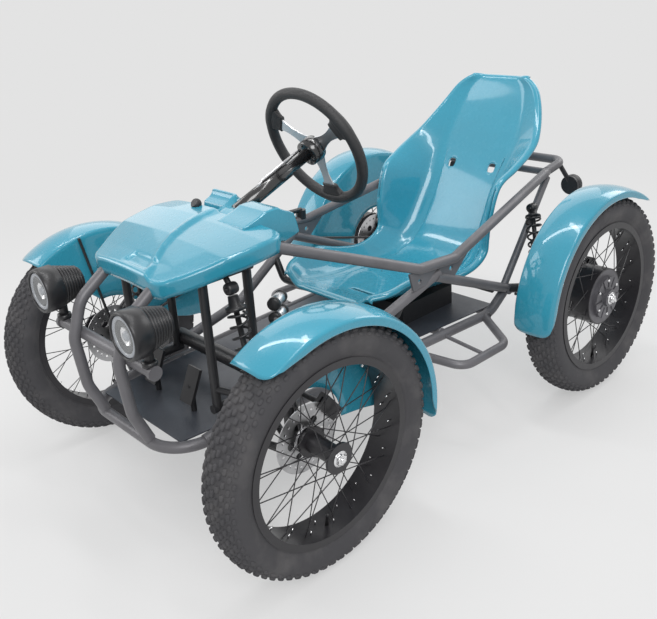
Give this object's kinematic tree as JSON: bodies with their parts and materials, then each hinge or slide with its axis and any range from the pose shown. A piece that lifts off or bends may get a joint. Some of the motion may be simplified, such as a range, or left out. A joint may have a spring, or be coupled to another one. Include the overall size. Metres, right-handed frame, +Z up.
{
  "type": "electric quadricycle",
  "caption": "Open single-seat electric quadricycle with a tubular frame, bucket seat, fat spoked wheels, rear hub motors and a steering wheel.",
  "frame": {"origin": "on the ground under the middle of the vehicle", "axes": "+Z up, -Y the way the vehicle faces, +X its left"},
  "size_m": [1.0922, 1.68, 0.9672],
  "materials": {
    "frame_paint": "satin dark grey powder coat",
    "body_blue": "gloss metallic teal",
    "tyre_rubber": "matt",
    "rim_black": "satin black",
    "motor_case": "satin dark grey",
    "steel": "ground",
    "black_metal": "satin black",
    "black_plastic": "fine grain",
    "grip": "matt",
    "alloy": "brushed",
    "lens": "clear",
    "grip_green": "matt",
    "plate": "satin"
  },
  "bodies": {
    "chassis": {"floor_frame": "frame_paint", "floor_plate": "plate", "side_frames": "frame_paint", "rear_hoop": "frame_paint", "front_hoops": "frame_paint", "front_bulkhead": "frame_paint", "side_steps": "frame_paint", "seat": "body_blue", "seat_bearers": "frame_paint", "battery_box": "black_plastic", "front_cover": "body_blue", "cover_knob": "black_plastic", "headlamps": "black_plastic", "headlamp_lenses": "lens", "tail_lamps": "black_plastic", "front_arms": "black_metal", "front_shocks": "black_metal", "rear_arms": "black_metal", "rear_shocks": "black_metal", "fenders_rear": "body_blue", "brake_calipers_rear": "black_metal", "pedals": "black_metal", "parking_lever": "black_metal", "rail_grip": "grip_green"},
    "steering": {"steering_wheel_rim": "grip", "steering_wheel_spokes": "alloy", "steering_column": "black_metal"},
    "tie_rods": {"tie_rods": "black_metal"},
    "knuckle_left": {"knuckle_left": "black_metal", "fender_front_left": "body_blue", "brake_caliper_front_left": "black_metal"},
    "wheel_front_left": {"tyre_front_left": "tyre_rubber", "rim_front_left": "rim_black", "brake_disc_front_left": "steel"},
    "wheel_rear_left": {"tyre_rear_left": "tyre_rubber", "rim_rear_left": "rim_black", "brake_disc_rear_left": "steel", "hub_motor_rear_left": "motor_case"},
    "knuckle_right": {"knuckle_right": "black_metal", "fender_front_right": "body_blue", "brake_caliper_front_right": "black_metal"},
    "wheel_front_right": {"tyre_front_right": "tyre_rubber", "rim_front_right": "rim_black", "brake_disc_front_right": "steel"},
    "wheel_rear_right": {"tyre_rear_right": "tyre_rubber", "rim_rear_right": "rim_black", "brake_disc_rear_right": "steel", "hub_motor_rear_right": "motor_case"}
  },
  "joints": [
    {"name": "steering_turn", "type": "hinge", "parent": "chassis", "child": "steering", "pos_m": [0, -0.0872, 0.8019], "axis": [0, 0.9291, 0.3698], "range_deg": [-90, 90]},
    {"name": "kingpin_left", "type": "hinge", "parent": "chassis", "child": "knuckle_left", "pos_m": [0.37512, -0.545, 0.29949], "axis": [0, 0, 1], "range_deg": [-30, 30]},
    {"name": "wheel_spin_front_left", "type": "hinge", "parent": "knuckle_left", "child": "wheel_front_left", "pos_m": [0.47, -0.545, 0.29469], "axis": [0.9987, 0, -0.0506], "continuous": true},
    {"name": "wheel_spin_rear_left", "type": "hinge", "parent": "chassis", "child": "wheel_rear_left", "pos_m": [0.47, 0.545, 0.295], "axis": [1, 0, 0], "continuous": true},
    {"name": "kingpin_right", "type": "hinge", "parent": "chassis", "child": "knuckle_right", "pos_m": [-0.37512, -0.545, 0.29949], "axis": [0, 0, 1], "range_deg": [-30, 30]},
    {"name": "wheel_spin_front_right", "type": "hinge", "parent": "knuckle_right", "child": "wheel_front_right", "pos_m": [-0.47, -0.545, 0.29469], "axis": [0.9987, 0, 0.0506], "continuous": true},
    {"name": "wheel_spin_rear_right", "type": "hinge", "parent": "chassis", "child": "wheel_rear_right", "pos_m": [-0.47, 0.545, 0.295], "axis": [1, 0, 0], "continuous": true},
    {"name": "rack_slide", "type": "slide", "parent": "chassis", "child": "tie_rods", "axis": [1, 0, 0], "range_m": [-0.0451, 0.0451]}
  ],
  "couplings": [
    {"joint": "kingpin_left", "follows": "steering_turn", "ratio": 0.33333},
    {"joint": "kingpin_right", "follows": "steering_turn", "ratio": 0.33333},
    {"joint": "rack_slide", "follows": "steering_turn", "m_per_rad": -0.02866}
  ]
}
